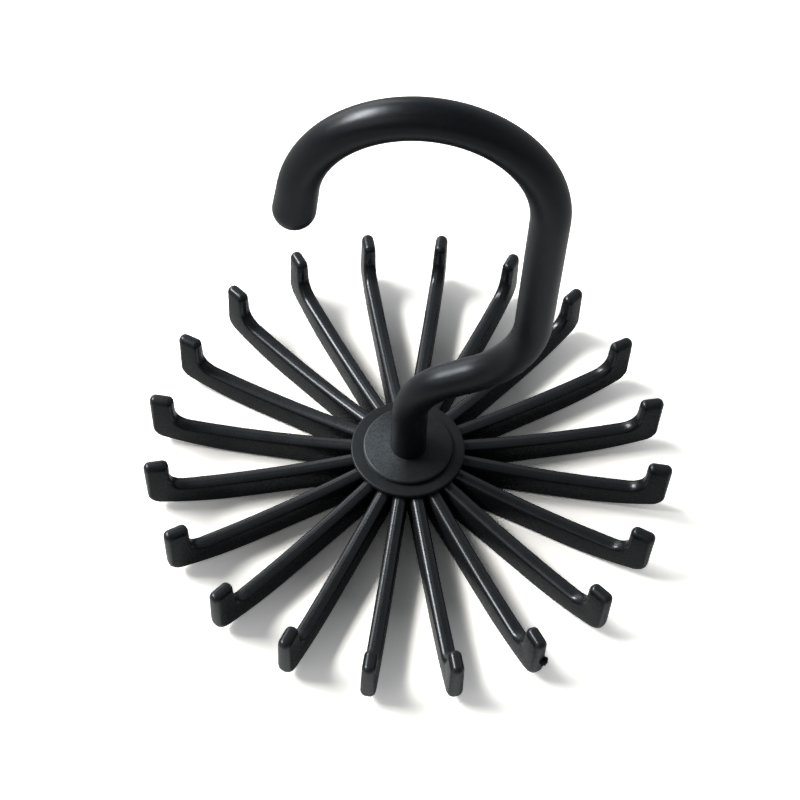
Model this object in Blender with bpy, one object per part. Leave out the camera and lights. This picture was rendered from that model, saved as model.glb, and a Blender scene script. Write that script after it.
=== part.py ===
"""Rotating tie rack: twenty upturned arms round a hub that swivels on a one-piece swan-neck hook.

Metres, +Z up. The swivel axis is the Z axis, and Z = 0 is the plane that the arms stand on.
"""

import math

import bmesh
import bpy

# Whole rack
RACK_RADIUS = 0.0675
FIT_GAP = 0.0003
MERGE_DISTANCE = 0.000001
CUT_OVERRUN = 0.0005

# Arms: a deep bar with a sagging crest and a belly that rises to an upturned tip
ARM_COUNT = 20
TIP_TOP = 0.0174
TIP_WIDTH = 0.0033
TIP_THICKNESS = 0.0056
DRAFT_DEG = 0.9
CREST_LOW_RADIUS = 0.046
CREST_LOW_HEIGHT = 0.0077
CREST_SAG_RADIUS = 0.250
SEAT_FILLET = 0.0046
BELLY_START_RADIUS = 0.046
BELLY_CURVE_RADIUS = 0.053
TOE_RADIUS = 0.0032
CREST_FLAT = 0.0005
FOOT_EDGE_ROUND = 0.0009
CAP_ROUND_HEIGHT = 0.0014
CAP_ROUND_INSET = 0.0011
TOP_CORNER_SHARE = 0.8
RUN_STEPS = 6
BEND_STEPS = 5
CAP_STEPS = 3
EDGE_STEPS = 3
FOOT_STEPS = 2

# Hub: a cup with a flange over the arm roots and a bored boss for the journal
DRUM_RADIUS = 0.0130
DRUM_WALL = 0.0018
DRUM_CLEARANCE = 0.0005
FLANGE_RADIUS = 0.0148
FLANGE_THICKNESS = 0.00105
FLANGE_EDGE_ROUND = 0.0004
PLATE_THICKNESS = 0.0018
BOSS_WALL = 0.0025
BOSS_FOOT = 0.0048

# Cap: the raised disc round the stem, let into the flange
CAP_RADIUS = 0.0116
CAP_RISE = 0.0013
CAP_SEAT_DEPTH = 0.0010
CAP_EDGE_ROUND = 0.0005

# Hook: one round rod from the journal to the ball end
ROD_RADIUS = 0.00445
STEM_RADIUS = 0.00465
BALL_RADIUS = 0.00485
JOURNAL_RADIUS = 0.0038
STEM_RUN = 0.0143
STEM_TAPER_RUN = 0.0270
LOWER_BEND_RADIUS = 0.0178
NECK_SLOPE_DEG = 32.0
UPPER_BEND_RADIUS = 0.0260
CROOK_RADIUS = 0.0271
CROOK_RISE = 0.0906
CROOK_SWEEP_DEG = 172.3
END_RUN = 0.0069
SWELL_RUN = 0.020
PILOT_RADIUS = 0.0019
PILOT_DEPTH = 0.0100
HOOK_TURN_DEG = 2.65
ROD_SIDES = 24
LOWER_BEND_STEPS = 6
UPPER_BEND_STEPS = 7
CROOK_STEPS = 24
BALL_STEPS = 5

# Washer and screw that hold the journal in the hub
WASHER_RADIUS = 0.0070
WASHER_THICKNESS = 0.0010
WASHER_EDGE = 0.0002
SCREW_RADIUS = 0.0016
SCREW_LENGTH = 0.0100
SCREW_POINT = 0.0015
SCREW_HEAD_RADIUS = 0.0032
SCREW_HEAD_HEIGHT = 0.0020
RECESS_ARM = 0.0017
RECESS_HALF_WIDTH = 0.0004
RECESS_DEPTH = 0.0012

HUB_SIDES = 48
SCREW_SIDES = 24
SMOOTH_ANGLE_DEG = 40.0


def clear_scene():
    for item in list(bpy.data.objects):
        bpy.data.objects.remove(item, do_unlink=True)


def plastic(name, colour, roughness):
    return surface(name, colour, roughness, 0.0)


def surface(name, colour, roughness, metallic):
    material = bpy.data.materials.new(name)
    material.use_nodes = True
    shader = material.node_tree.nodes["Principled BSDF"]
    shader.inputs["Base Color"].default_value = (*colour, 1.0)
    shader.inputs["Roughness"].default_value = roughness
    shader.inputs["Metallic"].default_value = metallic
    return material


def mesh_from(bm, name, material):
    """Turn a finished bmesh into a smooth-shaded mesh with one material."""
    bmesh.ops.recalc_face_normals(bm, faces=bm.faces)
    mesh = bpy.data.meshes.new(name)
    bm.to_mesh(mesh)
    bm.free()
    mesh.materials.append(material)
    mesh.shade_smooth()
    mesh.set_sharp_from_angle(angle=math.radians(SMOOTH_ANGLE_DEG))
    return mesh


def place(name, mesh, parent=None, turn_deg=0.0):
    item = bpy.data.objects.new(name, mesh)
    bpy.context.collection.objects.link(item)
    item.parent = parent
    item.rotation_euler[2] = math.radians(turn_deg)
    return item


def skin(bm, rings):
    """Join rings of equal count with quads, in their order, and return their vertices."""
    loops = [[bm.verts.new(point) for point in ring] for ring in rings]
    count = len(loops[0])
    for low, high in zip(loops, loops[1:]):
        for side in range(count):
            following = (side + 1) % count
            bm.faces.new((low[side], low[following], high[following], high[side]))
    return loops


def arc(centre, radius, first, last, steps):
    """Points on an arc, from angle first to angle last, both in radians."""
    points = []
    for step in range(steps + 1):
        angle = first + (last - first) * step / steps
        points.append((centre[0] + radius * math.cos(angle), centre[1] + radius * math.sin(angle)))
    return points


def turned(name, outline, sides, material):
    """Turn a closed outline of (radius, height) points about the Z axis."""
    bm = bmesh.new()
    corners = [bm.verts.new((radius, 0.0, height)) for radius, height in outline]
    edges = [bm.edges.new((corners[i - 1], corners[i])) for i in range(len(corners))]
    bmesh.ops.spin(
        bm,
        geom=corners + edges,
        cent=(0.0, 0.0, 0.0),
        axis=(0.0, 0.0, 1.0),
        angle=math.tau,
        steps=sides,
        use_merge=True,
    )
    bmesh.ops.remove_doubles(bm, verts=bm.verts, dist=MERGE_DISTANCE)
    return mesh_from(bm, name, material)


def crest_height(radius):
    """Height of the arm's crest, a shallow sag that is lowest at CREST_LOW_RADIUS."""
    across = radius - CREST_LOW_RADIUS
    drop = math.sqrt(CREST_SAG_RADIUS**2 - across**2)
    return CREST_LOW_HEIGHT + CREST_SAG_RADIUS - drop


def belly_height(radius):
    """Height of the arm's underside: flat, then a curve that rises toward the tip."""
    across = max(0.0, radius - BELLY_START_RADIUS)
    return BELLY_CURVE_RADIUS - math.sqrt(BELLY_CURVE_RADIUS**2 - across**2)


def corner_in_curve(curve_centre, curve_radius, corner_radius, face_radius):
    """Centre and first angle of a corner tangent inside a curve and to an upright face."""
    centre_r = face_radius - corner_radius
    across = centre_r - curve_centre[0]
    rise = math.sqrt((curve_radius - corner_radius) ** 2 - across**2)
    centre = (centre_r, curve_centre[1] - rise)
    return centre, math.atan2(-rise, across)


def arm_run(height, first_radius, last_radius):
    """Points of the crest or the belly from the root to the start of the bend."""
    points = []
    for step in range(RUN_STEPS):
        radius = first_radius + (last_radius - first_radius) * step / RUN_STEPS
        points.append((radius, height(radius)))
    return points


def arm_lines():
    """Matching points along the arm's outer line (belly, toe, face) and inner line (crest, seat)."""
    root = DRUM_RADIUS + FIT_GAP
    inner_face = RACK_RADIUS - TIP_THICKNESS
    toe, toe_angle = corner_in_curve(
        (BELLY_START_RADIUS, BELLY_CURVE_RADIUS), BELLY_CURVE_RADIUS, TOE_RADIUS, RACK_RADIUS
    )
    seat, seat_angle = corner_in_curve(
        (CREST_LOW_RADIUS, CREST_LOW_HEIGHT + CREST_SAG_RADIUS), CREST_SAG_RADIUS, SEAT_FILLET, inner_face
    )
    toe_arc = arc(toe, TOE_RADIUS, toe_angle, 0.0, BEND_STEPS)
    seat_arc = arc(seat, SEAT_FILLET, seat_angle, 0.0, BEND_STEPS)
    outer = arm_run(belly_height, root, toe_arc[0][0]) + toe_arc
    inner = arm_run(crest_height, root, seat_arc[0][0]) + seat_arc
    return outer, inner


def edge_round(body_round, inset):
    """Edge round of a drawn-in ring; at the tip's top it takes most of the half width that is left."""
    top_round = (TIP_WIDTH / 2 - CAP_ROUND_INSET) * TOP_CORNER_SHARE
    return body_round + (top_round - body_round) * inset / CAP_ROUND_INSET


def arm_section(outer, inner, inset=0.0):
    """One ring of the arm between a point of the outer line and its match on the inner line.

    The crest's edge rounds leave a narrow flat between them. The inset draws the ring in on all sides.
    """
    length = math.dist(outer, inner)
    along = ((inner[0] - outer[0]) / length, (inner[1] - outer[1]) / length)
    quarter = math.pi / 2
    crest_edge = edge_round((TIP_WIDTH - CREST_FLAT) / 2, inset)
    foot_edge = edge_round(FOOT_EDGE_ROUND, inset)
    half = []
    for step in range(FOOT_STEPS + 1):
        angle = -quarter + quarter * step / FOOT_STEPS
        shift = foot_edge * (1.0 + math.sin(angle)) + inset
        half.append((shift, foot_edge * (1.0 - math.cos(angle)) + inset))
    for step in range(EDGE_STEPS + 1):
        angle = quarter * step / EDGE_STEPS
        shift = length - inset - crest_edge * (1.0 - math.sin(angle))
        half.append((shift, crest_edge * (1.0 - math.cos(angle)) + inset))
    ring = []
    for side, points in ((1.0, half), (-1.0, reversed(half))):
        for shift, narrowing in points:
            radius = outer[0] + along[0] * shift
            height = outer[1] + along[1] * shift
            spread = (TIP_TOP - height) * math.tan(math.radians(DRAFT_DEG))
            half_width = TIP_WIDTH / 2 + spread - narrowing
            ring.append((radius, side * half_width, height))
    return ring


def arm_mesh(material):
    """One arm along +X, skinned from the root by the bend to the rounded top of its tip."""
    rings = [arm_section(outer, inner) for outer, inner in zip(*arm_lines())]
    inner_face = RACK_RADIUS - TIP_THICKNESS
    for step in range(CAP_STEPS + 1):
        angle = math.pi / 2 * step / CAP_STEPS
        height = TIP_TOP - CAP_ROUND_HEIGHT * (1.0 - math.sin(angle))
        inset = CAP_ROUND_INSET * (1.0 - math.cos(angle))
        rings.append(arm_section((RACK_RADIUS, height), (inner_face, height), inset))
    bm = bmesh.new()
    loops = skin(bm, rings)
    bm.faces.new(loops[0])
    bm.faces.new(loops[-1])
    return mesh_from(bm, "arm", material)


def flange_foot():
    """Height of the flange's underside, just clear of the crests at the arm roots."""
    return crest_height(DRUM_RADIUS + FIT_GAP) + FIT_GAP


def flange_top():
    return flange_foot() + FLANGE_THICKNESS


def cap_top():
    return flange_top() + CAP_RISE


def shoulder_height():
    """Height of the hook's shoulder, which turns on the cap."""
    return cap_top() + FIT_GAP


def hub_mesh(material):
    """The cup: bored boss, top plate with the cap's seat, flange, and open-bottomed drum."""
    bore = JOURNAL_RADIUS + FIT_GAP
    top = flange_top()
    seat_floor = top - CAP_SEAT_DEPTH
    seat_wall = CAP_RADIUS + FIT_GAP
    plate_foot = seat_floor - PLATE_THICKNESS
    boss_radius = bore + BOSS_WALL
    edge = (FLANGE_RADIUS - FLANGE_EDGE_ROUND, top - FLANGE_EDGE_ROUND)
    outline = [
        (bore, seat_floor),
        (seat_wall, seat_floor),
        (seat_wall, top),
        *reversed(arc(edge, FLANGE_EDGE_ROUND, 0.0, math.pi / 2, EDGE_STEPS)),
        (FLANGE_RADIUS, flange_foot()),
        (DRUM_RADIUS, flange_foot()),
        (DRUM_RADIUS, DRUM_CLEARANCE),
        (DRUM_RADIUS - DRUM_WALL, DRUM_CLEARANCE),
        (DRUM_RADIUS - DRUM_WALL, plate_foot),
        (boss_radius, plate_foot),
        (boss_radius, BOSS_FOOT),
        (bore, BOSS_FOOT),
    ]
    return turned("hub", outline, HUB_SIDES, material)


def cap_mesh(material):
    """The raised disc, with a rounded rim, that the hook's shoulder turns on."""
    bore = JOURNAL_RADIUS + FIT_GAP
    top = cap_top()
    foot = flange_top() - CAP_SEAT_DEPTH + FIT_GAP
    edge = (CAP_RADIUS - CAP_EDGE_ROUND, top - CAP_EDGE_ROUND)
    outline = [
        (bore, top),
        *reversed(arc(edge, CAP_EDGE_ROUND, 0.0, math.pi / 2, EDGE_STEPS)),
        (CAP_RADIUS, foot),
        (bore, foot),
    ]
    return turned("hub_cap", outline, HUB_SIDES, material)


def washer_mesh(material):
    """The washer under the boss, clamped to the end of the journal."""
    top = BOSS_FOOT - FIT_GAP
    foot = top - WASHER_THICKNESS
    rim = WASHER_RADIUS - WASHER_EDGE
    outline = [
        (PILOT_RADIUS, top),
        (rim, top),
        (WASHER_RADIUS, top - WASHER_EDGE),
        (WASHER_RADIUS, foot + WASHER_EDGE),
        (rim, foot),
        (PILOT_RADIUS, foot),
    ]
    return turned("retaining_washer", outline, HUB_SIDES, material)


def screw_head_top():
    return BOSS_FOOT - FIT_GAP - WASHER_THICKNESS - FIT_GAP


def screw_mesh(material):
    """A pan-head screw, point up, in the end of the journal."""
    seat = screw_head_top()
    dome = (SCREW_HEAD_RADIUS - SCREW_HEAD_HEIGHT / 2, seat - SCREW_HEAD_HEIGHT / 2)
    outline = [
        (0.0, seat + SCREW_LENGTH),
        (SCREW_RADIUS, seat + SCREW_LENGTH - SCREW_POINT),
        (SCREW_RADIUS, seat),
        (SCREW_HEAD_RADIUS, seat),
        *reversed(arc(dome, SCREW_HEAD_HEIGHT / 2, -math.pi / 2, 0.0, EDGE_STEPS)),
        (0.0, seat - SCREW_HEAD_HEIGHT),
    ]
    return turned("retaining_screw", outline, SCREW_SIDES, material)


def cut_cross_recess(screw):
    """Cut a cross recess into the screw's head from below."""
    mouth = screw_head_top() - SCREW_HEAD_HEIGHT - CUT_OVERRUN
    corner = [
        (RECESS_ARM, -RECESS_HALF_WIDTH),
        (RECESS_ARM, RECESS_HALF_WIDTH),
        (RECESS_HALF_WIDTH, RECESS_HALF_WIDTH),
    ]
    bm = bmesh.new()
    rim = []
    for quarter in range(4):
        turn = math.pi / 2 * quarter
        for x, y in corner:
            across = x * math.cos(turn) - y * math.sin(turn)
            along = x * math.sin(turn) + y * math.cos(turn)
            rim.append(bm.verts.new((across, along, mouth)))
    face = bm.faces.new(rim)
    grown = bmesh.ops.extrude_face_region(bm, geom=[face])
    top = [item for item in grown["geom"] if isinstance(item, bmesh.types.BMVert)]
    bmesh.ops.translate(bm, verts=top, vec=(0.0, 0.0, CUT_OVERRUN + RECESS_DEPTH))
    cutter = place("recess_cutter", mesh_from(bm, "recess_cutter", screw.data.materials[0]), screw.parent)
    cutter.hide_render = True
    cutter.display_type = "WIRE"
    cut = screw.modifiers.new("cross recess", "BOOLEAN")
    cut.operation = "DIFFERENCE"
    cut.object = cutter


def rod_stations():
    """The rod's centre line in the hook's plane, as (across, up, heading) from stem to end."""
    slope = math.radians(NECK_SLOPE_DEG)
    sweep = math.radians(CROOK_SWEEP_DEG)
    quarter = math.pi / 2
    shoulder = shoulder_height()
    lower = arc((LOWER_BEND_RADIUS, shoulder + STEM_RUN), LOWER_BEND_RADIUS, math.pi, quarter + slope,
                LOWER_BEND_STEPS)
    upper_across = CROOK_RADIUS - UPPER_BEND_RADIUS
    neck = upper_across + UPPER_BEND_RADIUS * math.sin(slope) - lower[-1][0]
    upper_height = lower[-1][1] + neck * math.tan(slope) + UPPER_BEND_RADIUS * math.cos(slope)
    upper = arc((upper_across, upper_height), UPPER_BEND_RADIUS, slope - quarter, 0.0, UPPER_BEND_STEPS)
    crook = arc((0.0, shoulder + CROOK_RISE), CROOK_RADIUS, 0.0, sweep, CROOK_STEPS)
    stations = [(0.0, shoulder, quarter)]
    for step, (across, up) in enumerate(lower):
        stations.append((across, up, quarter - (quarter - slope) * step / LOWER_BEND_STEPS))
    for step, (across, up) in enumerate(upper):
        stations.append((across, up, slope + (quarter - slope) * step / UPPER_BEND_STEPS))
    for step, (across, up) in enumerate(crook):
        stations.append((across, up, quarter + sweep * step / CROOK_STEPS))
    across, up, heading = stations[-1]
    stations.append((across + END_RUN * math.cos(heading), up + END_RUN * math.sin(heading), heading))
    return stations


def rod_ring(across, up, heading, radius):
    """A round ring square to the rod's heading."""
    ring = []
    for side in range(ROD_SIDES):
        angle = math.tau * side / ROD_SIDES
        outward = radius * math.cos(angle)
        x = across - outward * math.sin(heading)
        z = up + outward * math.cos(heading)
        ring.append((x, radius * math.sin(angle), z))
    return ring


def swelling(from_start, to_end):
    """Rod radius: a little stout at the stem, slim along the neck, swelling into the ball end."""
    stem_share = max(0.0, 1.0 - from_start / STEM_TAPER_RUN)
    ball_share = max(0.0, 1.0 - to_end / SWELL_RUN)
    stem_extra = (STEM_RADIUS - ROD_RADIUS) * stem_share
    ball_extra = (BALL_RADIUS - ROD_RADIUS) * ball_share**2
    return ROD_RADIUS + stem_extra + ball_extra


def hook_mesh(material):
    """Pilot hole, journal, shoulder, stem, neck, crook and ball end in one closed skin."""
    upright = math.pi / 2
    shoulder = shoulder_height()
    rings = [
        rod_ring(0.0, BOSS_FOOT + PILOT_DEPTH, upright, PILOT_RADIUS),
        rod_ring(0.0, BOSS_FOOT, upright, PILOT_RADIUS),
        rod_ring(0.0, BOSS_FOOT, upright, JOURNAL_RADIUS),
        rod_ring(0.0, shoulder, upright, JOURNAL_RADIUS),
    ]
    stations = rod_stations()
    lengths = [0.0]
    for before, after in zip(stations, stations[1:]):
        lengths.append(lengths[-1] + math.dist(before[:2], after[:2]))
    for (across, up, heading), travelled in zip(stations, lengths):
        rings.append(rod_ring(across, up, heading, swelling(travelled, lengths[-1] - travelled)))
    across, up, heading = stations[-1]
    for step in range(1, BALL_STEPS):
        angle = upright * step / BALL_STEPS
        ahead = BALL_RADIUS * math.sin(angle)
        x = across + ahead * math.cos(heading)
        z = up + ahead * math.sin(heading)
        rings.append(rod_ring(x, z, heading, BALL_RADIUS * math.cos(angle)))
    bm = bmesh.new()
    loops = skin(bm, rings)
    bm.faces.new(loops[0])
    pole_x = across + BALL_RADIUS * math.cos(heading)
    pole_z = up + BALL_RADIUS * math.sin(heading)
    pole = bm.verts.new((pole_x, 0.0, pole_z))
    last = loops[-1]
    for side in range(ROD_SIDES):
        bm.faces.new((last[side], last[(side + 1) % ROD_SIDES], pole))
    return mesh_from(bm, "hook", material)


def build_rack():
    """The hub, its cap and the arms, which turn as one."""
    gloss_black = plastic("arm_black", (0.018, 0.019, 0.020), 0.28)
    satin_black = plastic("hub_black", (0.030, 0.031, 0.033), 0.50)
    place("hub", hub_mesh(satin_black))
    place("hub_cap", cap_mesh(satin_black))
    arm = arm_mesh(gloss_black)
    for index in range(ARM_COUNT):
        place(f"arm_{index + 1:02d}", arm, turn_deg=360.0 / ARM_COUNT * index)


def build_hook():
    """The hook with the washer and screw on its journal, turned together about the axis."""
    swivel = place("swivel", None, turn_deg=HOOK_TURN_DEG)
    charcoal = plastic("hook_charcoal", (0.036, 0.037, 0.039), 0.42)
    zinc = surface("zinc_plate", (0.62, 0.63, 0.64), 0.35, 1.0)
    place("hook", hook_mesh(charcoal), swivel)
    place("retaining_washer", washer_mesh(zinc), swivel)
    screw = place("retaining_screw", screw_mesh(zinc), swivel)
    cut_cross_recess(screw)


def main():
    clear_scene()
    build_rack()
    build_hook()


main()
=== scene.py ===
"""Looks of a rotating tie rack that stands on a pale floor with its hook up.

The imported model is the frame: its bodies and boxes place every piece here. Metres, +Z up. The swivel axis is
the Z axis, and Z = 0 is the plane that the arms stand on.
"""

import math

import bmesh
import bpy
from mathutils import Matrix, Vector, noise


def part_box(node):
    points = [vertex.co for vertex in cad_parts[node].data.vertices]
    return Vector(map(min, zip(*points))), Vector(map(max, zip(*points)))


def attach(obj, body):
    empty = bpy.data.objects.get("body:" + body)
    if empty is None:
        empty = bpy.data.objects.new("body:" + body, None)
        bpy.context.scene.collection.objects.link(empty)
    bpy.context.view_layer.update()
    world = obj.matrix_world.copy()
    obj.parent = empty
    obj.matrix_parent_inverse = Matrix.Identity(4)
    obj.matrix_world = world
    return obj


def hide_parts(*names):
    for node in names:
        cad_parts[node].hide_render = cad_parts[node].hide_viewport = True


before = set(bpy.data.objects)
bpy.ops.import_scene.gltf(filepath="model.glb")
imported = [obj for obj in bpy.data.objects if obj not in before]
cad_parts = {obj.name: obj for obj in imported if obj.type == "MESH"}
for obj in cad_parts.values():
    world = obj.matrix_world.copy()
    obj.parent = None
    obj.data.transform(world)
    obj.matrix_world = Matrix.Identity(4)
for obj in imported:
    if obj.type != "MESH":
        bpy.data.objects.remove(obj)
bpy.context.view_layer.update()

QUARTER_TURN = math.pi / 2

# Places and sizes read from the frame
arm_low, arm_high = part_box("arm_01")
hub_low, hub_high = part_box("hub")
cap_low, cap_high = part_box("hub_cap")
washer_low, washer_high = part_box("retaining_washer")
screw_low, screw_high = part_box("retaining_screw")
ROOT_RADIUS = arm_low.x
RACK_RADIUS = arm_high.x
FLANGE_RADIUS = hub_high.x
FLANGE_TOP = hub_high.z
DRUM_FOOT = hub_low.z
CAP_RADIUS = cap_high.x
CAP_TOP = cap_high.z
CAP_FOOT = cap_low.z
WASHER_RADIUS = washer_high.x
WASHER_TOP = washer_high.z
WASHER_FOOT = washer_low.z
SCREW_HEAD_RADIUS = screw_high.x
SCREW_POINT_TOP = screw_high.z
SCREW_HEAD_FOOT = screw_low.z

# Gap between pieces that fit together
FIT_GAP = 0.0003

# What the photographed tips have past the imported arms' box
TIP_EXTRA_REACH = 0.0004
TIP_EXTRA_HEIGHT = 0.0008

# Arms: the belly turns up at the toe into the outer face, and the crest at the seat into the inner face
ARM_COUNT = 20
TIP_TOP = arm_high.z + TIP_EXTRA_HEIGHT
TIP_WIDTH = 0.0033
TIP_THICKNESS = 0.0062
FACE_RADIUS = RACK_RADIUS + TIP_EXTRA_REACH
INNER_FACE_RADIUS = FACE_RADIUS - TIP_THICKNESS
DRAFT_DEG = 0.9
CREST_LOW_RADIUS = 0.046
CREST_LOW_HEIGHT = 0.0077
CREST_SAG_RADIUS = 0.250
SEAT_FILLET = 0.0046
BELLY_START_RADIUS = 0.046
BELLY_CURVE_RADIUS = 0.085
TOE_RADIUS = 0.0032
CREST_FLAT = 0.0005
CREST_EDGE_ROUND = (TIP_WIDTH - CREST_FLAT) / 2
CREST_CROWN = 0.00008
FOOT_EDGE_ROUND = 0.0009
FACE_EDGE_ROUND = 0.00155
TIP_ROUND_HEIGHT = 0.0017
TIP_ROUND_INSET = 0.0013
TOP_CORNER_SHARE = 0.8
TIP_WEAR = 0.8
CREST_WEAR = 0.25
RUN_STEPS = 36
BEND_STEPS = 14
TIP_ROUND_STEPS = 8
EDGE_STEPS = 8
FOOT_STEPS = 6
CROWN_STEPS = 6

# Torn stub of the moulding gate on the outer face of one tip, with waves round its edge and chips on its top
GATE_ARM = 18
GATE_HEIGHT = 0.0098
GATE_ASIDE = 0.0009
GATE_HALF_WIDTH = 0.0011
GATE_HALF_HEIGHT = 0.0017
GATE_PROUD = 0.0009
GATE_EDGE_POWER = 0.6
GATE_DOME_POWER = 0.7
WAVE_SHARE = 0.22
WAVE_SCALE = 2.1
WAVE_RISE = 3.0
CHIP_SHARE = 0.35
CHIP_SCALE = 4.0
CHIP_LAYER = 7.0
GATE_SIDES = 40
GATE_RINGS = 9

# Hub and cap
DRUM_RADIUS = ROOT_RADIUS - FIT_GAP
DRUM_WALL = 0.0018
FLANGE_EDGE_ROUND = 0.0004
CAP_SEAT_DEPTH = 0.0010
PLATE_THICKNESS = 0.0018
BOSS_WALL = 0.0025
CAP_EDGE_ROUND = 0.0005
CAP_SEAM = 0.00006
INNER_FILLET = 0.0006
HUB_WEAR = 0.3
CAP_WEAR = 0.4
RIM_STEPS = 8
FILLET_STEPS = 6
TURN_SIDES = 192
MERGE_DISTANCE = 0.0000005

# Hook
ROD_RADIUS = 0.00445
STEM_RADIUS = 0.00465
BALL_RADIUS = 0.00485
JOURNAL_RADIUS = 0.0038
PILOT_RADIUS = 0.0019
PILOT_DEPTH = 0.0100
STEM_RUN = 0.0143
STEM_TAPER_RUN = 0.0270
LOWER_BEND_RADIUS = 0.0178
NECK_SLOPE = math.radians(32.0)
UPPER_BEND_RADIUS = 0.0260
CROOK_RADIUS = 0.0271
CROOK_RISE = 0.0906
CROOK_SWEEP = math.radians(172.3)
END_RUN = 0.0069
SWELL_RUN = 0.020
HOOK_TURN_DEG = 2.65
HOOK_WEAR = 0.15
ROD_SIDES = 72
ROD_STEP = 0.0008
BALL_STEPS = 18

# Where the hook's journal runs in the hub's boss
BORE_RADIUS = JOURNAL_RADIUS + FIT_GAP
BOSS_FOOT = WASHER_TOP + FIT_GAP
SHOULDER = CAP_TOP + FIT_GAP

# Washer and screw under the hub
WASHER_EDGE = 0.0002
WASHER_EDGE_STEPS = 4
SCREW_RADIUS = 0.0016
SCREW_POINT = 0.0015
SCREW_POINT_RADIUS = SCREW_RADIUS / 4
SCREW_HEAD_HEIGHT = 0.0020
HEAD_EDGE_ROUND = 0.00015
HEAD_EDGE_STEPS = 4
DOME_STEPS = 10
RECESS_ARM = 0.0017
RECESS_HALF_WIDTH = 0.0004
RECESS_DEPTH = 0.0012
RECESS_TAPER_SHARE = 0.6

# Angle between faces from which an edge is shaded sharp
SHARP_DEG = 50.0
TURNED_SHARP_DEG = 40.0
SCREW_SHARP_DEG = 35.0

# Ranges of a noise texture: its core, nearly all of it, its peaks, and where it catches on rubbed edges
NOISE_CORE = (0.35, 0.65)
NOISE_SPREAD = (0.3, 0.7)
NOISE_PEAKS = (0.66, 0.80)
RUBBED_GRAIN = (0.40, 0.62)

# How squarely an arm's face has to look outward, or across its arm, to count as an outer face or a flank
OUTER_FACE_RANGE = (0.80, 0.98)
FLANK_RANGE = (0.75, 0.97)

# Tones that materials share
WHITE = (1.0, 1.0, 1.0, 1.0)
BLACK = (0.0, 0.0, 0.0, 1.0)
COOL_TINT = (0.90, 0.95, 1.0, 1.0)

# Dust and rubbed edges of the plastics; painted light: a paler tone on the arms' outer faces, which are also
# rougher
DUST_TONE = (0.16, 0.17, 0.17, 1.0)
DUST_SHARE = 0.03
RUBBED_TONE = (0.075, 0.078, 0.080, 1.0)
RUBBED_SHARE = 0.12
RUBBED_ROUGHNESS = 0.10
# Paler tone painted on the arms' outer faces as painted light, and the extra roughness of these faces
PAINTED_FACE_TONE = (0.030, 0.031, 0.032, 1.0)
OUTER_FACE_ROUGHNESS = 0.12

# Painted sheen on the side of the hub and cap toward the key lamp: that side as an angle from +X, and its
# reach
SHEEN_SIDE = math.radians(-166.0)
SHEEN_LIMIT_COSINE = 0.1
SHEEN_SHARE = 0.9
SHEEN_TINT = (0.84, 0.97, 1.04)

# Floor: its tones for the object near the rack and away from it, and the coat that only the camera sees
FLOOR_HALF_SIDE = 4.0
FLOOR_DROP = 0.00003
FLOOR_SEGMENTS = 8
NEAR_FLOOR_TONE = (0.55, 0.55, 0.545, 1.0)
FAR_FLOOR_TONE = (0.20, 0.20, 0.198, 1.0)
SEEN_COAT_TONE = (0.85, 0.82, 0.75, 1.0)
FADE_START_RADIUS = 0.07
FADE_END_RADIUS = 0.16
GLOW_START_RADIUS = RACK_RADIUS * 0.6
GLOW_FULL_RADIUS = RACK_RADIUS * 2.1
GLOW_STRENGTH = 0.95
MIRRORED_SHARE = 0.15

# World light on the object: from front to back, and what is left of it overhead
FRONT_TO_BACK = (-0.9, 0.9)
FRONT_STRENGTH = 0.13
BACK_STRENGTH = 0.45
OVERHEAD_RANGE = (0.50, 0.95)
OVERHEAD_SHARE = 0.4

# Camera: where the photograph was taken from
VIEW_TURN_DEG = 5.61
VIEW_ELEVATION_DEG = 55.07
VIEW_ROLL_DEG = 3.2
VIEW_DISTANCE = 0.42117
VIEW_ACROSS = -0.002732
VIEW_DEPTH = 0.010468
VIEW_HEIGHT = 0.0174
IMAGE_SIDE = 800
FOCAL_PIXELS = 1616.9
SENSOR_MM = 36.0

# Height over the floor that the lamps are aimed at
LAMP_AIM_HEIGHT = 0.03


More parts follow.
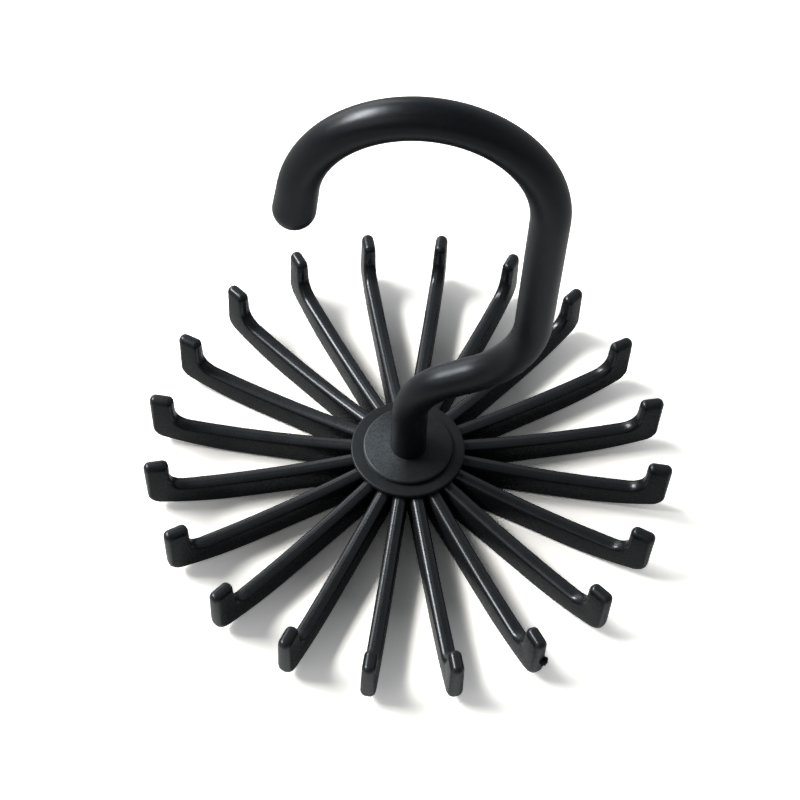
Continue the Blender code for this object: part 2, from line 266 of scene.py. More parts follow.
class Nodes:
    """A small helper that adds shader nodes and links them."""

    def __init__(self, tree):
        self.tree = tree

    def add(self, kind, **values):
        """A new node, with its properties set."""
        node = self.tree.nodes.new(kind)
        for name, value in values.items():
            setattr(node, name, value)
        return node

    def link(self, source, target):
        """Link an output to an input."""
        self.tree.links.new(source, target)

    def noise(self, coords, scale, detail=2.0, roughness=0.5):
        """A noise texture of the given scale, in waves to the metre."""
        node = self.add("ShaderNodeTexNoise")
        node.inputs["Scale"].default_value = scale
        node.inputs["Detail"].default_value = detail
        node.inputs["Roughness"].default_value = roughness
        self.link(coords, node.inputs["Vector"])
        return node.outputs["Fac"]

    def remap(self, value, given, to=(0.0, 1.0)):
        """The value moved from the given range to another, and held inside it."""
        node = self.add("ShaderNodeMapRange")
        for name, limit in zip(("From Min", "From Max", "To Min", "To Max"), (*given, *to)):
            node.inputs[name].default_value = limit
        self.link(value, node.inputs["Value"])
        return node.outputs["Result"]

    def calculate(self, operation, first, second=0.0):
        """The result of a sum on outputs or numbers; some operations leave the second out."""
        node = self.add("ShaderNodeMath", operation=operation)
        for socket, value in zip(node.inputs, (first, second)):
            if isinstance(value, float):
                socket.default_value = value
            else:
                self.link(value, socket)
        return node.outputs["Value"]

    def mix(self, share, first, second):
        """The first colour, with the share of the second."""
        node = self.add("ShaderNodeMix", data_type="RGBA")
        for name, value in (("Factor", share), ("A", first), ("B", second)):
            sockets = [socket for socket in node.inputs if socket.name == name and socket.enabled]
            if isinstance(value, tuple):
                sockets[0].default_value = value
            else:
                self.link(value, sockets[0])
        return [socket for socket in node.outputs if socket.enabled][0]

    def bump(self, height, depth, normal=None):
        """The normal over a relief of the given depth, on top of another relief if one is given."""
        node = self.add("ShaderNodeBump")
        node.inputs["Distance"].default_value = depth
        self.link(height, node.inputs["Height"])
        if normal is not None:
            self.link(normal, node.inputs["Normal"])
        return node.outputs["Normal"]

    def sum_shaders(self, first, second):
        """Both shaders' light together."""
        node = self.add("ShaderNodeAddShader")
        self.link(first, node.inputs[0])
        self.link(second, node.inputs[1])
        return node.outputs[0]


def new_material(name):
    """A material with its node helper and its Principled shader."""
    material = bpy.data.materials.new(name)
    material.use_nodes = True
    tree = material.node_tree
    return material, Nodes(tree), tree.nodes["Principled BSDF"]


def arm_facing(nodes, texture_space):
    """How squarely a face looks outward along its arm, from -1 to 1, and across its arm, from 0 to 1."""
    level_place = nodes.add("ShaderNodeVectorMath", operation="MULTIPLY")
    level_place.inputs[1].default_value = (1.0, 1.0, 0.0)
    nodes.link(texture_space.outputs["Object"], level_place.inputs[0])
    outward = nodes.add("ShaderNodeVectorMath", operation="NORMALIZE")
    nodes.link(level_place.outputs["Vector"], outward.inputs[0])
    ahead = nodes.add("ShaderNodeVectorMath", operation="DOT_PRODUCT")
    aside = nodes.add("ShaderNodeVectorMath", operation="CROSS_PRODUCT")
    for product in (ahead, aside):
        nodes.link(outward.outputs["Vector"], product.inputs[0])
        nodes.link(texture_space.outputs["Normal"], product.inputs[1])
    across = nodes.add("ShaderNodeSeparateXYZ")
    nodes.link(aside.outputs["Vector"], across.inputs[0])
    return ahead.outputs["Value"], nodes.calculate("ABSOLUTE", across.outputs["Z"])


def painted_sheen_patch(nodes, coords, colour, sheen_tone):
    """The colour with a painted sheen: a mottled paler grey of the given tone, on the side toward the key
    lamp.
    """
    place = nodes.add("ShaderNodeSeparateXYZ")
    nodes.link(coords, place.inputs[0])
    side = nodes.calculate("ARCTAN2", place.outputs["Y"], place.outputs["X"])
    facing = nodes.calculate("COSINE", nodes.calculate("SUBTRACT", side, SHEEN_SIDE))
    spots = nodes.noise(coords, scale=1700.0, detail=4.0, roughness=0.75)
    mottle = nodes.remap(spots, given=NOISE_CORE, to=(0.45, 1.55))
    patch = nodes.remap(facing, given=(SHEEN_LIMIT_COSINE, 1.0), to=(0.0, SHEEN_SHARE))
    grey = tuple(sheen_tone * tint for tint in SHEEN_TINT)
    return nodes.mix(nodes.calculate("MULTIPLY", patch, mottle), colour, (*grey, 1.0))


def moulded_plastic(name, *, dark, light, rough_low, rough_high, grain_size, grain_depth, ripple_depth, level,
                    sheen_tone=0.0, flank_share=1.0):
    """Black moulded plastic: blotchy tone, dust, uneven gloss, fine grain, slow ripples and rubbed edges.

    Level is how strongly it reflects. The sheen tone is that of a painted sheen, a mottled paler patch on the
    side of the hub and cap toward the key lamp. A flank share under 1 is for the arms: it is the share of the
    level that their upright flanks keep, and it paints their outer faces paler, as painted light, and makes
    them rougher.
    """
    material, nodes, shader = new_material(name)
    texture_space = nodes.add("ShaderNodeTexCoord")
    coords = texture_space.outputs["Object"]
    blotches = nodes.noise(coords, scale=90.0, detail=4.0, roughness=0.6)
    grain = nodes.noise(coords, scale=1.0 / grain_size, roughness=0.6)
    specks = nodes.noise(coords, scale=2600.0, detail=1.0)
    ripples = nodes.noise(coords, scale=160.0)
    shine = nodes.noise(coords, scale=420.0, detail=3.0, roughness=0.6)
    tone = nodes.mix(nodes.remap(blotches, given=NOISE_CORE), (*dark, 1.0), (*light, 1.0))
    dusty = nodes.mix(nodes.remap(specks, given=NOISE_PEAKS, to=(0.0, DUST_SHARE)), tone, DUST_TONE)
    wear = nodes.add("ShaderNodeAttribute", attribute_name="wear").outputs["Fac"]
    rubbed = nodes.calculate("MULTIPLY", wear, nodes.remap(grain, given=RUBBED_GRAIN, to=(0.1, 0.9)))
    colour = nodes.mix(nodes.calculate("MULTIPLY", rubbed, RUBBED_SHARE), dusty, RUBBED_TONE)
    # Painted sheen: a mottled paler patch on the side of the hub and cap toward the key lamp
    if sheen_tone > 0.0:
        colour = painted_sheen_patch(nodes, coords, colour, sheen_tone)
    gloss = nodes.remap(shine, given=NOISE_SPREAD, to=(rough_low, rough_high))
    rough = nodes.calculate("ADD", gloss, nodes.calculate("MULTIPLY", rubbed, RUBBED_ROUGHNESS))
    shader.inputs["Specular IOR Level"].default_value = level
    shader.inputs["Specular Tint"].default_value = COOL_TINT
    if flank_share < 1.0:
        ahead, across = arm_facing(nodes, texture_space)
        # Painted light: the outer faces of the tips are painted paler; they are also made rougher
        outer_face_share = nodes.remap(ahead, given=OUTER_FACE_RANGE)
        colour = nodes.mix(outer_face_share, colour, PAINTED_FACE_TONE)
        rough = nodes.calculate("ADD", rough, nodes.calculate("MULTIPLY", outer_face_share, OUTER_FACE_ROUGHNESS))
        flank_level = nodes.remap(across, given=FLANK_RANGE, to=(level, level * flank_share))
        nodes.link(flank_level, shader.inputs["Specular IOR Level"])
    nodes.link(colour, shader.inputs["Base Color"])
    nodes.link(rough, shader.inputs["Roughness"])
    slow = nodes.bump(ripples, ripple_depth)
    nodes.link(nodes.bump(grain, grain_depth, slow), shader.inputs["Normal"])
    return material


def arm_plastic():
    """Smooth and glossy, with dim flanks, and outer faces painted paler as painted light and made rougher."""
    return moulded_plastic(
        "gloss_black", dark=(0.0074, 0.0082, 0.0091), light=(0.0108, 0.0118, 0.0130),
        rough_low=0.24, rough_high=0.30, grain_size=0.00035, grain_depth=0.0000010, ripple_depth=0.000008,
        level=0.50, flank_share=0.28,
    )


def hub_plastic(name, grain_size, grain_depth, sheen_tone):
    """Matte and grained, with a painted sheen on one side."""
    return moulded_plastic(
        name, dark=(0.0057, 0.0063, 0.0069), light=(0.0092, 0.0099, 0.0106),
        rough_low=0.36, rough_high=0.46, grain_size=grain_size, grain_depth=grain_depth, ripple_depth=0.00003,
        level=0.34, sheen_tone=sheen_tone,
    )


def hook_plastic():
    """Satin charcoal."""
    return moulded_plastic(
        "hook_charcoal_satin", dark=(0.0028, 0.0034, 0.0046), light=(0.0042, 0.0051, 0.0068),
        rough_low=0.28, rough_high=0.34, grain_size=0.00060, grain_depth=0.000002, ripple_depth=0.00003,
        level=0.44,
    )


def torn_plastic():
    """Dull broken plastic, pitted, where the moulding gate was snapped off."""
    material, nodes, shader = new_material("torn_plastic")
    coords = nodes.add("ShaderNodeTexCoord").outputs["Object"]
    pits = nodes.noise(coords, scale=3000.0, detail=4.0, roughness=0.65)
    tone = nodes.mix(pits, (0.0015, 0.0016, 0.0017, 1.0), (0.006, 0.006, 0.0065, 1.0))
    nodes.link(tone, shader.inputs["Base Color"])
    nodes.link(nodes.remap(pits, given=NOISE_SPREAD, to=(0.55, 0.8)), shader.inputs["Roughness"])
    shader.inputs["Specular IOR Level"].default_value = 0.12
    nodes.link(nodes.bump(pits, depth=0.00012), shader.inputs["Normal"])
    return material


def zinc_plate():
    """Bright zinc plate, clouded and finely scratched."""
    material, nodes, shader = new_material("zinc_plate")
    coords = nodes.add("ShaderNodeTexCoord").outputs["Object"]
    clouds = nodes.noise(coords, scale=500.0, detail=3.0, roughness=0.6)
    tone = nodes.mix(clouds, (0.50, 0.51, 0.52, 1.0), (0.70, 0.71, 0.72, 1.0))
    nodes.link(tone, shader.inputs["Base Color"])
    shader.inputs["Metallic"].default_value = 1.0
    nodes.link(nodes.remap(clouds, given=NOISE_SPREAD, to=(0.24, 0.42)), shader.inputs["Roughness"])
    scratches = nodes.noise(coords, scale=4000.0)
    nodes.link(nodes.bump(scratches, depth=0.00001), shader.inputs["Normal"])
    return material


def add_object(name, data):
    """A new object in the scene, with the given mesh, lamp or camera."""
    item = bpy.data.objects.new(name, data)
    bpy.context.scene.collection.objects.link(item)
    return item


def finish_mesh(bm, name, material, wear=None, sharp_deg=SHARP_DEG):
    """Turn a bmesh into a smooth mesh with one material and, if wear is given, its value for each vertex."""
    bmesh.ops.recalc_face_normals(bm, faces=bm.faces)
    mesh = bpy.data.meshes.new(name)
    bm.to_mesh(mesh)
    bm.free()
    mesh.materials.append(material)
    mesh.shade_smooth()
    mesh.set_sharp_from_angle(angle=math.radians(sharp_deg))
    if wear is not None:
        layer = mesh.attributes.new("wear", "FLOAT", "POINT")
        layer.data.foreach_set("value", [wear(vertex.co) for vertex in mesh.vertices])
    return mesh


def skin(bm, rings, closed=False):
    """Join rings of equal count with quads, in their order, and return their vertices.

    Closed joins the last ring to the first one too.
    """
    loops = [[bm.verts.new(point) for point in ring] for ring in rings]
    next_loops = loops[1:] + loops[:1] if closed else loops[1:]
    count = len(loops[0])
    for low, high in zip(loops, next_loops):
        for side in range(count):
            following = (side + 1) % count
            bm.faces.new((low[side], low[following], high[following], high[side]))
    return loops


def arc(centre, radius, first, last, steps):
    """Points on an arc, from angle first to angle last, both in radians."""
    points = []
    for step in range(steps + 1):
        angle = first + (last - first) * step / steps
        points.append((centre[0] + radius * math.cos(angle), centre[1] + radius * math.sin(angle)))
    return points


def crest_height(radius):
    """Height of the arm's sagging crest."""
    across = radius - CREST_LOW_RADIUS
    return CREST_LOW_HEIGHT + CREST_SAG_RADIUS - math.sqrt(CREST_SAG_RADIUS**2 - across**2)


def belly_height(radius):
    """Height of the arm's belly, which is flat and then rises."""
    across = max(0.0, radius - BELLY_START_RADIUS)
    return BELLY_CURVE_RADIUS - math.sqrt(BELLY_CURVE_RADIUS**2 - across**2)


def corner_in_curve(curve_centre, curve_radius, corner_radius, face_radius):
    """Centre and first angle of a corner tangent inside a curve and to an upright face."""
    centre_r = face_radius - corner_radius
    across = centre_r - curve_centre[0]
    rise = math.sqrt((curve_radius - corner_radius) ** 2 - across**2)
    return (centre_r, curve_centre[1] - rise), math.atan2(-rise, across)


def arm_run(height, first_radius, last_radius):
    """Points along the crest or belly, up to the last radius but without it."""
    points = []
    for step in range(RUN_STEPS):
        radius = first_radius + (last_radius - first_radius) * step / RUN_STEPS
        points.append((radius, height(radius)))
    return points


def arm_lines():
    """Matching points along the outer line (belly, toe, face) and the inner line (crest, seat)."""
    toe, toe_angle = corner_in_curve(
        (BELLY_START_RADIUS, BELLY_CURVE_RADIUS), BELLY_CURVE_RADIUS, TOE_RADIUS, FACE_RADIUS
    )
    sag_centre = (CREST_LOW_RADIUS, CREST_LOW_HEIGHT + CREST_SAG_RADIUS)
    seat, seat_angle = corner_in_curve(sag_centre, CREST_SAG_RADIUS, SEAT_FILLET, INNER_FACE_RADIUS)
    toe_arc = arc(toe, TOE_RADIUS, toe_angle, 0.0, BEND_STEPS)
    seat_arc = arc(seat, SEAT_FILLET, seat_angle, 0.0, BEND_STEPS)
    outer = arm_run(belly_height, ROOT_RADIUS, toe_arc[0][0]) + toe_arc
    inner = arm_run(crest_height, ROOT_RADIUS, seat_arc[0][0]) + seat_arc
    return outer, inner


def drawn_in_round(body_round, inset):
    """Edge round of a drawn-in ring; at the tip's top it takes most of the half width that is left."""
    top_round = (TIP_WIDTH / 2 - TIP_ROUND_INSET) * TOP_CORNER_SHARE
    return body_round + (top_round - body_round) * inset / TIP_ROUND_INSET


def outer_edge_round(radius):
    """Edge round of the outer line: small under the arm, and nearly the half width on the tip's face."""
    face_start = FACE_RADIUS - TOE_RADIUS
    share = (radius - BELLY_START_RADIUS) / (face_start - BELLY_START_RADIUS)
    return FOOT_EDGE_ROUND + (FACE_EDGE_ROUND - FOOT_EDGE_ROUND) * min(1.0, max(0.0, share))


def arm_half_section(outer_radius, length, inset):
    """(shift, narrowing) points of half a ring, from the belly's middle to the crest's middle."""
    crest_edge = drawn_in_round(CREST_EDGE_ROUND, inset)
    foot_edge = drawn_in_round(outer_edge_round(outer_radius), inset)
    half = []
    for step in range(FOOT_STEPS + 1):
        angle = -QUARTER_TURN + QUARTER_TURN * step / FOOT_STEPS
        shift = foot_edge * (1.0 + math.sin(angle)) + inset
        half.append((shift, foot_edge * (1.0 - math.cos(angle)) + inset))
    for step in range(EDGE_STEPS + 1):
        angle = QUARTER_TURN * step / EDGE_STEPS
        shift = length - inset - crest_edge * (1.0 - math.sin(angle))
        half.append((shift, crest_edge * (1.0 - math.cos(angle)) + inset))
    return half


def arm_section(outer, inner, inset=0.0):
    """One ring of the arm between a point of the outer line and its match on the inner line."""
    length = math.dist(outer, inner)
    along = ((inner[0] - outer[0]) / length, (inner[1] - outer[1]) / length)
    half = arm_half_section(outer[0], length, inset)

    def spot(side, shift, narrowing):
        """A point of the ring on one side of the arm, with its draft."""
        height = outer[1] + along[1] * shift
        spread = (TIP_TOP - height) * math.tan(math.radians(DRAFT_DEG))
        return (outer[0] + along[0] * shift, side * (TIP_WIDTH / 2 + spread - narrowing), height)

    ring = [spot(1.0, *point) for point in half]
    crest_x, crest_y, crest_z = ring[-1]
    for step in range(1, CROWN_STEPS):
        share = 1.0 - 2.0 * step / CROWN_STEPS
        lift = CREST_CROWN * (1.0 - share**2)
        ring.append((crest_x + along[0] * lift, crest_y * share, crest_z + along[1] * lift))
    ring += [spot(-1.0, *point) for point in reversed(half)]
    return ring


def arm_wear(point):
    """Wear is strongest on the tip's rounded edges and light along the crest's."""
    radius = math.hypot(point.x, point.y)
    tip = max(0.0, (point.z - (TIP_TOP - TIP_ROUND_HEIGHT)) / TIP_ROUND_HEIGHT)
    crest_edge = crest_height(min(radius, FACE_RADIUS)) - CREST_EDGE_ROUND
    crest = CREST_WEAR if point.z > crest_edge else 0.0
    return min(1.0, max(tip * TIP_WEAR, crest))


def build_arm(index, material):
    """One arm, skinned along +X from the root to the rounded top of its tip, then turned to its place."""
    rings = [arm_section(outer, inner) for outer, inner in zip(*arm_lines())]
    for step in range(TIP_ROUND_STEPS + 1):
        angle = QUARTER_TURN * step / TIP_ROUND_STEPS
        height = TIP_TOP - TIP_ROUND_HEIGHT * (1.0 - math.sin(angle))
        inset = TIP_ROUND_INSET * (1.0 - math.cos(angle))
        rings.append(arm_section((FACE_RADIUS, height), (INNER_FACE_RADIUS, height), inset))
    bm = bmesh.new()
    loops = skin(bm, rings)
    bm.faces.new(loops[0])
    bm.faces.new(loops[-1])
    turn = Matrix.Rotation(math.tau / ARM_COUNT * index, 4, "Z")
    bmesh.ops.transform(bm, matrix=turn, verts=bm.verts)
    name = f"arm_{index + 1:02d}"
    piece = add_object(f"tie_{name}", finish_mesh(bm, f"tie_{name}", material, arm_wear))
    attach(piece, "rack")
    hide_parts(name)


def gate_ring(share, base, aside, out):
    """One ragged ring of the gate's stub, from its foot at share 0 to its top at share 1."""
    reach = math.cos(QUARTER_TURN * share) ** GATE_EDGE_POWER
    dome = math.sin(QUARTER_TURN * share) ** GATE_DOME_POWER
    ring = []
    for side in range(GATE_SIDES):
        angle = math.tau * side / GATE_SIDES
        across, upward = math.cos(angle), math.sin(angle)
        wave = noise.noise((WAVE_SCALE * across, WAVE_SCALE * upward, WAVE_RISE * share))
        ragged = reach * (1.0 + WAVE_SHARE * wave)
        chip = noise.noise((CHIP_SCALE * across * reach, CHIP_SCALE * upward * reach, CHIP_LAYER))
        lift = (FIT_GAP + GATE_PROUD * (1.0 + CHIP_SHARE * chip)) * dome
        rise = Vector((0.0, 0.0, GATE_HALF_HEIGHT * ragged * upward))
        ring.append(base + aside * (GATE_HALF_WIDTH * ragged * across) + out * lift + rise)
    return ring


def build_gate_stub(material):
    """A ragged low dome, snapped off short, let a little into the tip's outer face."""
    turn = math.tau / ARM_COUNT * (GATE_ARM - 1)
    out = Vector((math.cos(turn), math.sin(turn), 0.0))
    aside = Vector((-math.sin(turn), math.cos(turn), 0.0))
    base = out * (FACE_RADIUS - FIT_GAP) + aside * GATE_ASIDE + Vector((0.0, 0.0, GATE_HEIGHT))
    bm = bmesh.new()
    loops = skin(bm, [gate_ring(ring / GATE_RINGS, base, aside, out) for ring in range(GATE_RINGS)])
    bm.faces.new(loops[0])
    bm.faces.new(loops[-1])
    piece = add_object("gate_stub", finish_mesh(bm, "gate_stub", material))
    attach(piece, "rack")


def turned(name, outline, material, wear=None):
    """Turn a closed outline of (radius, height) points about the Z axis."""
    bm = bmesh.new()
    rings = []
    for side in range(TURN_SIDES):
        angle = math.tau * side / TURN_SIDES
        rings.append([(r * math.cos(angle), r * math.sin(angle), z) for r, z in outline])
    skin(bm, rings, closed=True)
    bmesh.ops.remove_doubles(bm, verts=bm.verts, dist=MERGE_DISTANCE)
    return add_object(name, finish_mesh(bm, name, material, wear, TURNED_SHARP_DEG))


def build_hub(material):
    """The cup with its flange, the seat of the cap, and the bored boss inside."""
    flange_foot = crest_height(ROOT_RADIUS) + FIT_GAP
    seat_floor = FLANGE_TOP - CAP_SEAT_DEPTH
    seat_wall = CAP_RADIUS + CAP_SEAM
    plate_foot = seat_floor - PLATE_THICKNESS
    boss_radius = BORE_RADIUS + BOSS_WALL
    drum_inside = DRUM_RADIUS - DRUM_WALL
    edge = (FLANGE_RADIUS - FLANGE_EDGE_ROUND, FLANGE_TOP - FLANGE_EDGE_ROUND)
    outer_fillet = (drum_inside - INNER_FILLET, plate_foot - INNER_FILLET)
    boss_fillet = (boss_radius + INNER_FILLET, plate_foot - INNER_FILLET)
    outline = [
        (BORE_RADIUS, seat_floor),
        (seat_wall, seat_floor),
        (seat_wall, FLANGE_TOP),
        *reversed(arc(edge, FLANGE_EDGE_ROUND, 0.0, QUARTER_TURN, RIM_STEPS)),
        (FLANGE_RADIUS, flange_foot),
        (DRUM_RADIUS, flange_foot),
        (DRUM_RADIUS, DRUM_FOOT),
        (drum_inside, DRUM_FOOT),
        *arc(outer_fillet, INNER_FILLET, 0.0, QUARTER_TURN, FILLET_STEPS),
        *arc(boss_fillet, INNER_FILLET, QUARTER_TURN, math.pi, FILLET_STEPS),
        (boss_radius, BOSS_FOOT),
        (BORE_RADIUS, BOSS_FOOT),
    ]
    piece = turned("moulded_hub", outline, material, lambda point: HUB_WEAR)
    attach(piece, "rack")
    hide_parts("hub")


def build_cap(material):
    """The raised disc with a rounded rim."""
    edge = (CAP_RADIUS - CAP_EDGE_ROUND, CAP_TOP - CAP_EDGE_ROUND)
    outline = [
        (BORE_RADIUS, CAP_TOP),
        *reversed(arc(edge, CAP_EDGE_ROUND, 0.0, QUARTER_TURN, RIM_STEPS)),
        (CAP_RADIUS, CAP_FOOT),
        (BORE_RADIUS, CAP_FOOT),
    ]
    piece = turned("swivel_cap", outline, material, lambda point: CAP_WEAR)
    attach(piece, "rack")
    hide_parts("hub_cap")


def neck_length():
    """Length of the straight neck, which brings the rod under the crook's right-hand side."""
    turned_share = 1.0 - math.sin(NECK_SLOPE)
    reach = CROOK_RADIUS - (LOWER_BEND_RADIUS + UPPER_BEND_RADIUS) * turned_share
    return reach / math.cos(NECK_SLOPE)


def rod_line():
    """The rod's centre line in the hook's plane, as close-set (across, up, heading) stations.

    It is made of (length, bend) runs. The upright's length is left open, and brings the rod up to the crook.
    """
    bend_turn = QUARTER_TURN - NECK_SLOPE
    runs = [
        (STEM_RUN, 0.0),
        (LOWER_BEND_RADIUS * bend_turn, -1.0 / LOWER_BEND_RADIUS),
        (neck_length(), 0.0),
        (UPPER_BEND_RADIUS * bend_turn, 1.0 / UPPER_BEND_RADIUS),
        (None, 0.0),
        (CROOK_RADIUS * CROOK_SWEEP, 1.0 / CROOK_RADIUS),
        (END_RUN, 0.0),
    ]
    across, up, heading = 0.0, SHOULDER, QUARTER_TURN
    stations = [(across, up, heading)]
    for length, bend in runs:
        if length is None:
            length = SHOULDER + CROOK_RISE - up
        steps = max(2, round(length / ROD_STEP))
        stride = length / steps
        for _ in range(steps):
            middle = heading + bend * stride / 2
            across += stride * math.cos(middle)
            up += stride * math.sin(middle)
            heading += bend * stride
            stations.append((across, up, heading))
    return stations


def rod_radius(from_start, to_end):
    """The rod's radius, which is larger at the stem and swells to the ball end."""
    stem_share = max(0.0, 1.0 - from_start / STEM_TAPER_RUN)
    ball_share = max(0.0, 1.0 - to_end / SWELL_RUN)
    stem_extra = (STEM_RADIUS - ROD_RADIUS) * stem_share
    return ROD_RADIUS + stem_extra + (BALL_RADIUS - ROD_RADIUS) * ball_share**2


def rod_ring(across, up, heading, radius):
    """A ring round the rod, square to its heading."""
    ring = []
    for side in range(ROD_SIDES):
        angle = math.tau * side / ROD_SIDES
        outward = radius * math.cos(angle)
        place = across - outward * math.sin(heading)
        ring.append((place, radius * math.sin(angle), up + outward * math.cos(heading)))
    return ring


def build_hook(material):
    """Pilot hole, journal, shoulder, stem, neck, crook and ball end in one closed skin."""
    rings = [
        rod_ring(0.0, BOSS_FOOT + PILOT_DEPTH, QUARTER_TURN, PILOT_RADIUS),
        rod_ring(0.0, BOSS_FOOT, QUARTER_TURN, PILOT_RADIUS),
        rod_ring(0.0, BOSS_FOOT, QUARTER_TURN, JOURNAL_RADIUS),
        rod_ring(0.0, SHOULDER, QUARTER_TURN, JOURNAL_RADIUS),
    ]
    stations = rod_line()
    lengths = [0.0]
    for before, after in zip(stations, stations[1:]):
        lengths.append(lengths[-1] + math.dist(before[:2], after[:2]))
    for (across, up, heading), travelled in zip(stations, lengths):
        rings.append(rod_ring(across, up, heading, rod_radius(travelled, lengths[-1] - travelled)))
    across, up, heading = stations[-1]
    for step in range(1, BALL_STEPS):
        angle = QUARTER_TURN * step / BALL_STEPS
        ahead = BALL_RADIUS * math.sin(angle)
        further, higher = across + ahead * math.cos(heading), up + ahead * math.sin(heading)
        rings.append(rod_ring(further, higher, heading, BALL_RADIUS * math.cos(angle)))
    bm = bmesh.new()
    loops = skin(bm, rings)
    bm.faces.new(loops[0])
    pole = bm.verts.new((across + BALL_RADIUS * math.cos(heading), 0.0, up + BALL_RADIUS * math.sin(heading)))
    last = loops[-1]
    for side in range(ROD_SIDES):
        bm.faces.new((last[side], last[(side + 1) % ROD_SIDES], pole))
    turn = Matrix.Rotation(math.radians(HOOK_TURN_DEG), 4, "Z")
    bmesh.ops.transform(bm, matrix=turn, verts=bm.verts)
    piece = add_object("swan_neck_hook", finish_mesh(bm, "swan_neck_hook", material, lambda point: HOOK_WEAR))
    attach(piece, "hook")
    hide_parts("hook")


def build_washer(material):
    """The flat washer, its edges tumbled smooth."""
    inner = PILOT_RADIUS + WASHER_EDGE
    outer = WASHER_RADIUS - WASHER_EDGE
    low = WASHER_FOOT + WASHER_EDGE
    high = WASHER_TOP - WASHER_EDGE
    outline = []
    for turns, corner in enumerate(((outer, low), (outer, high), (inner, high), (inner, low)), start=-1):
        first = QUARTER_TURN * turns
        outline += arc(corner, WASHER_EDGE, first, first + QUARTER_TURN, WASHER_EDGE_STEPS)
    piece = turned("plated_washer", outline, material)
    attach(piece, "hook")
    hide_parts("retaining_washer")


def cross_recess(height):
    """The twelve corners of the cross at the given height, narrower as the recess goes in."""
    share = 1.0 - RECESS_TAPER_SHARE * (height - SCREW_HEAD_FOOT) / SCREW_HEAD_HEIGHT
    reach = RECESS_ARM * share
    half = RECESS_HALF_WIDTH * share
    points = []
    for arm in range(4):
        turn = QUARTER_TURN * arm
        for x, y in ((reach, -half), (reach, half), (half, half)):
            turned_x = x * math.cos(turn) - y * math.sin(turn)
            turned_y = x * math.sin(turn) + y * math.cos(turn)
            points.append((turned_x, turned_y, height))
    return points


def build_screw(material):
    """A pan-head screw with a cross recess, its shank up in the journal's pilot hole."""
    seat = SCREW_HEAD_FOOT + SCREW_HEAD_HEIGHT
    crown = SCREW_HEAD_HEIGHT / 2
    dome = (SCREW_HEAD_RADIUS - crown, seat - crown)
    shoulder = (SCREW_HEAD_RADIUS - HEAD_EDGE_ROUND, seat - HEAD_EDGE_ROUND)
    profile = [
        (SCREW_POINT_RADIUS, SCREW_POINT_TOP),
        (SCREW_RADIUS, SCREW_POINT_TOP - SCREW_POINT),
        (SCREW_RADIUS, seat),
        *reversed(arc(shoulder, HEAD_EDGE_ROUND, 0.0, QUARTER_TURN, HEAD_EDGE_STEPS)),
        *reversed(arc(dome, crown, -QUARTER_TURN, 0.0, DOME_STEPS)),
    ]
    turns = [math.tau * side / ROD_SIDES for side in range(ROD_SIDES)]
    rings = []
    for radius, height in profile:
        rings.append([(radius * math.cos(turn), radius * math.sin(turn), height) for turn in turns])
    bm = bmesh.new()
    loops = skin(bm, rings)
    bm.faces.new(loops[0])
    mouth, floor = skin(bm, [cross_recess(SCREW_HEAD_FOOT), cross_recess(SCREW_HEAD_FOOT + RECESS_DEPTH)])
    bm.faces.new(floor)
    rims = []
    for loop in (loops[-1], mouth):
        for here, there in zip(loop, loop[1:] + loop[:1]):
            rims.append(bm.edges.get((here, there)))
    bmesh.ops.triangle_fill(bm, use_beauty=True, edges=rims)
    mesh = finish_mesh(bm, "cross_head_screw", material, sharp_deg=SCREW_SHARP_DEG)
    piece = add_object("cross_head_screw", mesh)
    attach(piece, "hook")
    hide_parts("retaining_screw")


def floor_glow(nodes, path, distance):
    """A white glow that grows away from the rack, seen by the camera and a little in reflections."""
    glow = nodes.add("ShaderNodeEmission")
    glow.inputs["Color"].default_value = WHITE
    mirrored = nodes.calculate("MAXIMUM", path.outputs["Is Glossy Ray"], path.outputs["Is Transmission Ray"])
    dimmed = nodes.calculate("MULTIPLY", mirrored, MIRRORED_SHARE)
    seen = nodes.calculate("MAXIMUM", path.outputs["Is Camera Ray"], dimmed)
    white = nodes.remap(distance, given=(GLOW_START_RADIUS, GLOW_FULL_RADIUS), to=(0.0, GLOW_STRENGTH))
    nodes.link(nodes.calculate("MULTIPLY", seen, white), glow.inputs["Strength"])
    return glow.outputs[0]


def pale_floor():
    """Pale paint that sends less light to the object away from the rack.

    The camera sees a second coat on it, so that the paint clips to white in full light and keeps its shadows.
    """
    material, nodes, shader = new_material("pale_floor")
    material.node_tree.nodes.remove(shader)
    path = nodes.add("ShaderNodeLightPath")
    away = nodes.add("ShaderNodeVectorMath", operation="LENGTH")
    nodes.link(nodes.add("ShaderNodeTexCoord").outputs["Object"], away.inputs[0])
    distance = away.outputs["Value"]
    paint = nodes.add("ShaderNodeBsdfDiffuse")
    fade = nodes.remap(distance, given=(FADE_START_RADIUS, FADE_END_RADIUS))
    nodes.link(nodes.mix(fade, NEAR_FLOOR_TONE, FAR_FLOOR_TONE), paint.inputs["Color"])
    seen_coat = nodes.add("ShaderNodeBsdfDiffuse")
    nodes.link(nodes.mix(path.outputs["Is Camera Ray"], BLACK, SEEN_COAT_TONE), seen_coat.inputs["Color"])
    coats = nodes.sum_shaders(paint.outputs[0], seen_coat.outputs[0])
    surface = nodes.sum_shaders(coats, floor_glow(nodes, path, distance))
    nodes.link(surface, material.node_tree.nodes["Material Output"].inputs["Surface"])
    return material


def build_floor():
    """A plain pale floor, just under the arms."""
    bm = bmesh.new()
    bmesh.ops.create_grid(bm, x_segments=FLOOR_SEGMENTS, y_segments=FLOOR_SEGMENTS, size=FLOOR_HALF_SIDE)
    bmesh.ops.translate(bm, verts=bm.verts, vec=(0.0, 0.0, -FLOOR_DROP))
    floor = add_object("floor", finish_mesh(bm, "floor", pale_floor()))


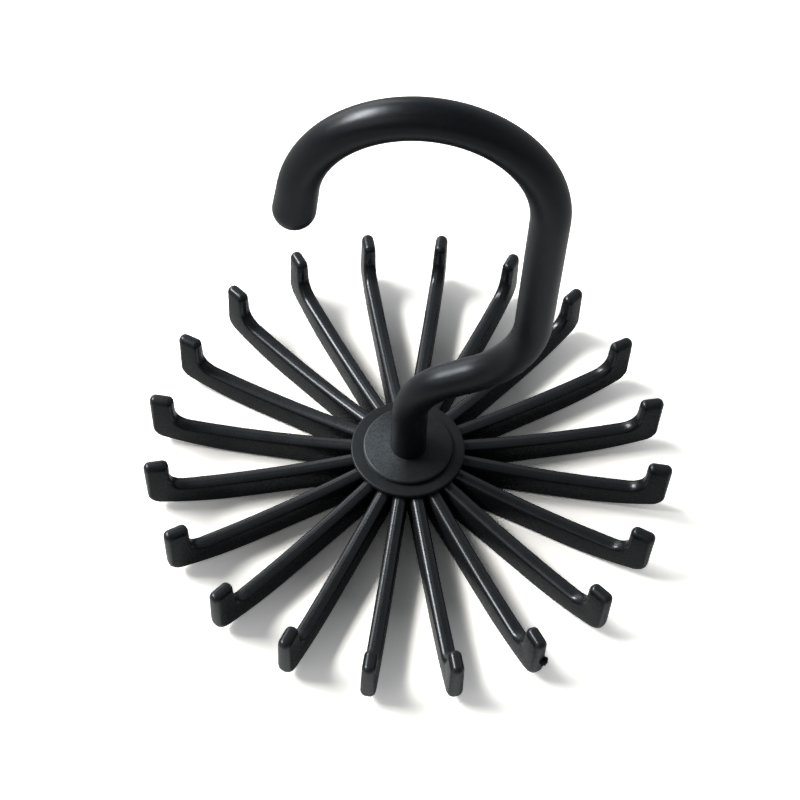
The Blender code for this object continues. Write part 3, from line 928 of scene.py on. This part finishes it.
def build_world():
    """White behind the object; for its light, soft and dim, brighter toward the back and darker overhead."""
    world = bpy.data.worlds.new("studio")
    bpy.context.scene.world = world
    world.use_nodes = True
    nodes = Nodes(world.node_tree)
    room = world.node_tree.nodes["Background"]
    room.inputs["Color"].default_value = COOL_TINT
    split = nodes.add("ShaderNodeSeparateXYZ")
    nodes.link(nodes.add("ShaderNodeTexCoord").outputs["Generated"], split.inputs[0])
    toward_back = nodes.remap(split.outputs["Y"], given=FRONT_TO_BACK, to=(FRONT_STRENGTH, BACK_STRENGTH))
    overhead = nodes.remap(split.outputs["Z"], given=OVERHEAD_RANGE, to=(1.0, OVERHEAD_SHARE))
    nodes.link(nodes.calculate("MULTIPLY", toward_back, overhead), room.inputs["Strength"])
    backdrop = nodes.add("ShaderNodeBackground")
    backdrop.inputs["Color"].default_value = WHITE
    choice = nodes.add("ShaderNodeMixShader")
    nodes.link(nodes.add("ShaderNodeLightPath").outputs["Is Camera Ray"], choice.inputs[0])
    nodes.link(room.outputs[0], choice.inputs[1])
    nodes.link(backdrop.outputs[0], choice.inputs[2])
    nodes.link(choice.outputs[0], world.node_tree.nodes["World Output"].inputs["Surface"])


def soft_lamp(name, *, azimuth_deg, elevation_deg, distance, size, power):
    """A rectangular soft lamp aimed at the rack.

    Seen from above, its azimuth counts clockwise from the way that the camera looks.
    """
    data = bpy.data.lights.new(name, "AREA")
    data.shape = "RECTANGLE"
    data.size, data.size_y = size
    data.energy = power
    lamp = add_object(name, data)
    azimuth = math.radians(azimuth_deg - VIEW_TURN_DEG)
    elevation = math.radians(elevation_deg)
    level = math.cos(elevation)
    way = Vector((math.sin(azimuth) * level, math.cos(azimuth) * level, math.sin(elevation)))
    lamp.location = Vector((0.0, 0.0, LAMP_AIM_HEIGHT)) + way * distance
    lamp.rotation_euler = way.to_track_quat("Z", "Y").to_euler()


def build_lamps():
    """A wide key lamp with a bright core, on the left and a little behind; a low back window; a weak fill."""
    soft_lamp("key", azimuth_deg=-70.0, elevation_deg=42.0, distance=2.4, size=(1.70, 0.85), power=26.0)
    soft_lamp("key_core", azimuth_deg=-75.0, elevation_deg=44.0, distance=2.3, size=(1.15, 0.46), power=48.0)
    soft_lamp("back_window", azimuth_deg=-32.0, elevation_deg=20.0, distance=2.4, size=(1.6, 1.4), power=11.0)
    soft_lamp("front_fill", azimuth_deg=-130.0, elevation_deg=35.0, distance=2.4, size=(1.6, 1.2), power=4.3)


def build_camera():
    """The camera, placed and turned as for the photograph."""
    elevation = math.radians(VIEW_ELEVATION_DEG)
    roll = math.radians(VIEW_ROLL_DEG)
    back = Vector((0.0, -math.cos(elevation), math.sin(elevation)))
    level = Vector((1.0, 0.0, 0.0))
    rise = Vector((0.0, math.sin(elevation), math.cos(elevation)))
    right = math.cos(roll) * level + math.sin(roll) * rise
    up = math.cos(roll) * rise - math.sin(roll) * level
    pose = Matrix((right, up, back)).transposed().to_4x4()
    pose.translation = back * VIEW_DISTANCE + Vector((VIEW_ACROSS, VIEW_DEPTH, VIEW_HEIGHT))
    data = bpy.data.cameras.new("camera")
    data.sensor_width = SENSOR_MM
    data.lens = FOCAL_PIXELS / IMAGE_SIDE * SENSOR_MM
    camera = add_object("camera", data)
    camera.matrix_world = Matrix.Rotation(math.radians(VIEW_TURN_DEG), 4, "Z") @ pose
    bpy.context.scene.camera = camera


def main():
    """Every piece of the rack, then the floor, the light and the camera."""
    gloss_black = arm_plastic()
    # The hub and cap get a painted sheen on their side toward the key lamp
    satin_black = hub_plastic("satin_black", grain_size=0.00030, grain_depth=0.000015, sheen_tone=0.019)
    cap_black = hub_plastic("cap_black", grain_size=0.00040, grain_depth=0.000020, sheen_tone=0.068)
    charcoal = hook_plastic()
    zinc = zinc_plate()
    for index in range(ARM_COUNT):
        build_arm(index, gloss_black)
    build_hub(satin_black)
    build_cap(cap_black)
    build_hook(charcoal)
    build_washer(zinc)
    build_screw(zinc)
    build_gate_stub(torn_plastic())
    build_floor()
    build_world()
    build_lamps()
    build_camera()
    bpy.context.scene.view_settings.view_transform = "Standard"


main()
